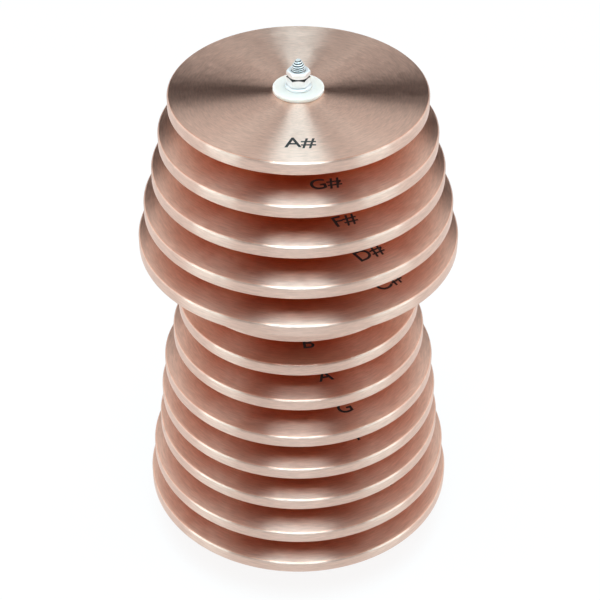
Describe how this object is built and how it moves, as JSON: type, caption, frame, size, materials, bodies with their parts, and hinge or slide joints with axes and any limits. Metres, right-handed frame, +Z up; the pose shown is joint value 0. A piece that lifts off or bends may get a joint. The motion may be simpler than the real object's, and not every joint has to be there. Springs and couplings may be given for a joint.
{
  "type": "crotales",
  "caption": "Chromatic set of tuned bronze discs stacked by size on a central tie rod, each turning on its own flanged nylon bush, with locked hex nuts on top and a round rubber foot.",
  "frame": {"origin": "centre of the foot's underside, on the tie rod's axis, where the stack stands", "axes": "+Z up along the tie rod; -Y towards the picture's camera; +X to the picture's right"},
  "size_m": [0.13, 0.13, 0.2307],
  "materials": {
    "bronze": "lathe-turned and polished, unlacquered",
    "nylon": "natural white, moulded satin",
    "zinc_steel": "bright zinc plate",
    "rubber": "moulded matt black"
  },
  "bodies": {
    "stand": {"tie_rod": "zinc_steel", "rubber_foot": "rubber", "foot_lock_nut": "zinc_steel", "lock_nut_nylon_ring": "nylon", "foot_steel_washer": "zinc_steel", "base_nylon_washer": "nylon", "nylon_bush_a_sharp": "nylon", "nylon_bush_g_sharp": "nylon", "nylon_bush_f_sharp": "nylon", "nylon_bush_d_sharp": "nylon", "nylon_bush_c_sharp": "nylon", "nylon_bush_high_c": "nylon", "nylon_bush_b": "nylon", "nylon_bush_a": "nylon", "nylon_bush_g": "nylon", "nylon_bush_f": "nylon", "nylon_bush_e": "nylon", "nylon_bush_d": "nylon", "nylon_bush_low_c": "nylon"},
    "disc_a_sharp": {"crotale_a_sharp": "bronze"},
    "disc_g_sharp": {"crotale_g_sharp": "bronze"},
    "disc_f_sharp": {"crotale_f_sharp": "bronze"},
    "disc_d_sharp": {"crotale_d_sharp": "bronze"},
    "disc_c_sharp": {"crotale_c_sharp": "bronze"},
    "disc_high_c": {"crotale_high_c": "bronze"},
    "disc_b": {"crotale_b": "bronze"},
    "disc_a": {"crotale_a": "bronze"},
    "disc_g": {"crotale_g": "bronze"},
    "disc_f": {"crotale_f": "bronze"},
    "disc_e": {"crotale_e": "bronze"},
    "disc_d": {"crotale_d": "bronze"},
    "disc_low_c": {"crotale_low_c": "bronze"},
    "clamp_washer": {"top_steel_washer": "zinc_steel"},
    "nuts": {"clamp_nut": "zinc_steel", "jam_nut": "zinc_steel"}
  },
  "joints": [
    {"name": "a_sharp_turn", "type": "hinge", "parent": "stand", "child": "disc_a_sharp", "pos_m": [0, 0, 0.21036], "axis": [0, 0, 1], "continuous": true},
    {"name": "g_sharp_turn", "type": "hinge", "parent": "stand", "child": "disc_g_sharp", "pos_m": [0, 0, 0.19456], "axis": [0, 0, 1], "continuous": true},
    {"name": "f_sharp_turn", "type": "hinge", "parent": "stand", "child": "disc_f_sharp", "pos_m": [0, 0, 0.17876], "axis": [0, 0, 1], "continuous": true},
    {"name": "d_sharp_turn", "type": "hinge", "parent": "stand", "child": "disc_d_sharp", "pos_m": [0, 0, 0.16296], "axis": [0, 0, 1], "continuous": true},
    {"name": "c_sharp_turn", "type": "hinge", "parent": "stand", "child": "disc_c_sharp", "pos_m": [0, 0, 0.14716], "axis": [0, 0, 1], "continuous": true},
    {"name": "high_c_turn", "type": "hinge", "parent": "stand", "child": "disc_high_c", "pos_m": [0, 0, 0.13136], "axis": [0, 0, 1], "continuous": true},
    {"name": "b_turn", "type": "hinge", "parent": "stand", "child": "disc_b", "pos_m": [0, 0, 0.11556], "axis": [0, 0, 1], "continuous": true},
    {"name": "a_turn", "type": "hinge", "parent": "stand", "child": "disc_a", "pos_m": [0, 0, 0.09976], "axis": [0, 0, 1], "continuous": true},
    {"name": "g_turn", "type": "hinge", "parent": "stand", "child": "disc_g", "pos_m": [0, 0, 0.08396], "axis": [0, 0, 1], "continuous": true},
    {"name": "f_turn", "type": "hinge", "parent": "stand", "child": "disc_f", "pos_m": [0, 0, 0.06816], "axis": [0, 0, 1], "continuous": true},
    {"name": "e_turn", "type": "hinge", "parent": "stand", "child": "disc_e", "pos_m": [0, 0, 0.05236], "axis": [0, 0, 1], "continuous": true},
    {"name": "d_turn", "type": "hinge", "parent": "stand", "child": "disc_d", "pos_m": [0, 0, 0.03656], "axis": [0, 0, 1], "continuous": true},
    {"name": "low_c_turn", "type": "hinge", "parent": "stand", "child": "disc_low_c", "pos_m": [0, 0, 0.02076], "axis": [0, 0, 1], "continuous": true},
    {"name": "clamp_turn", "type": "hinge", "parent": "stand", "child": "clamp_washer", "pos_m": [0, 0, 0.21961], "axis": [0, 0, 1], "range_deg": [0, 2520]},
    {"name": "clamp_lift", "type": "slide", "parent": "clamp_washer", "child": "nuts", "axis": [0, 0, 1], "range_m": [0, 0.0056]}
  ],
  "couplings": [
    {"joint": "clamp_turn", "follows": "clamp_lift", "rad_per_m": 7854}
  ]
}
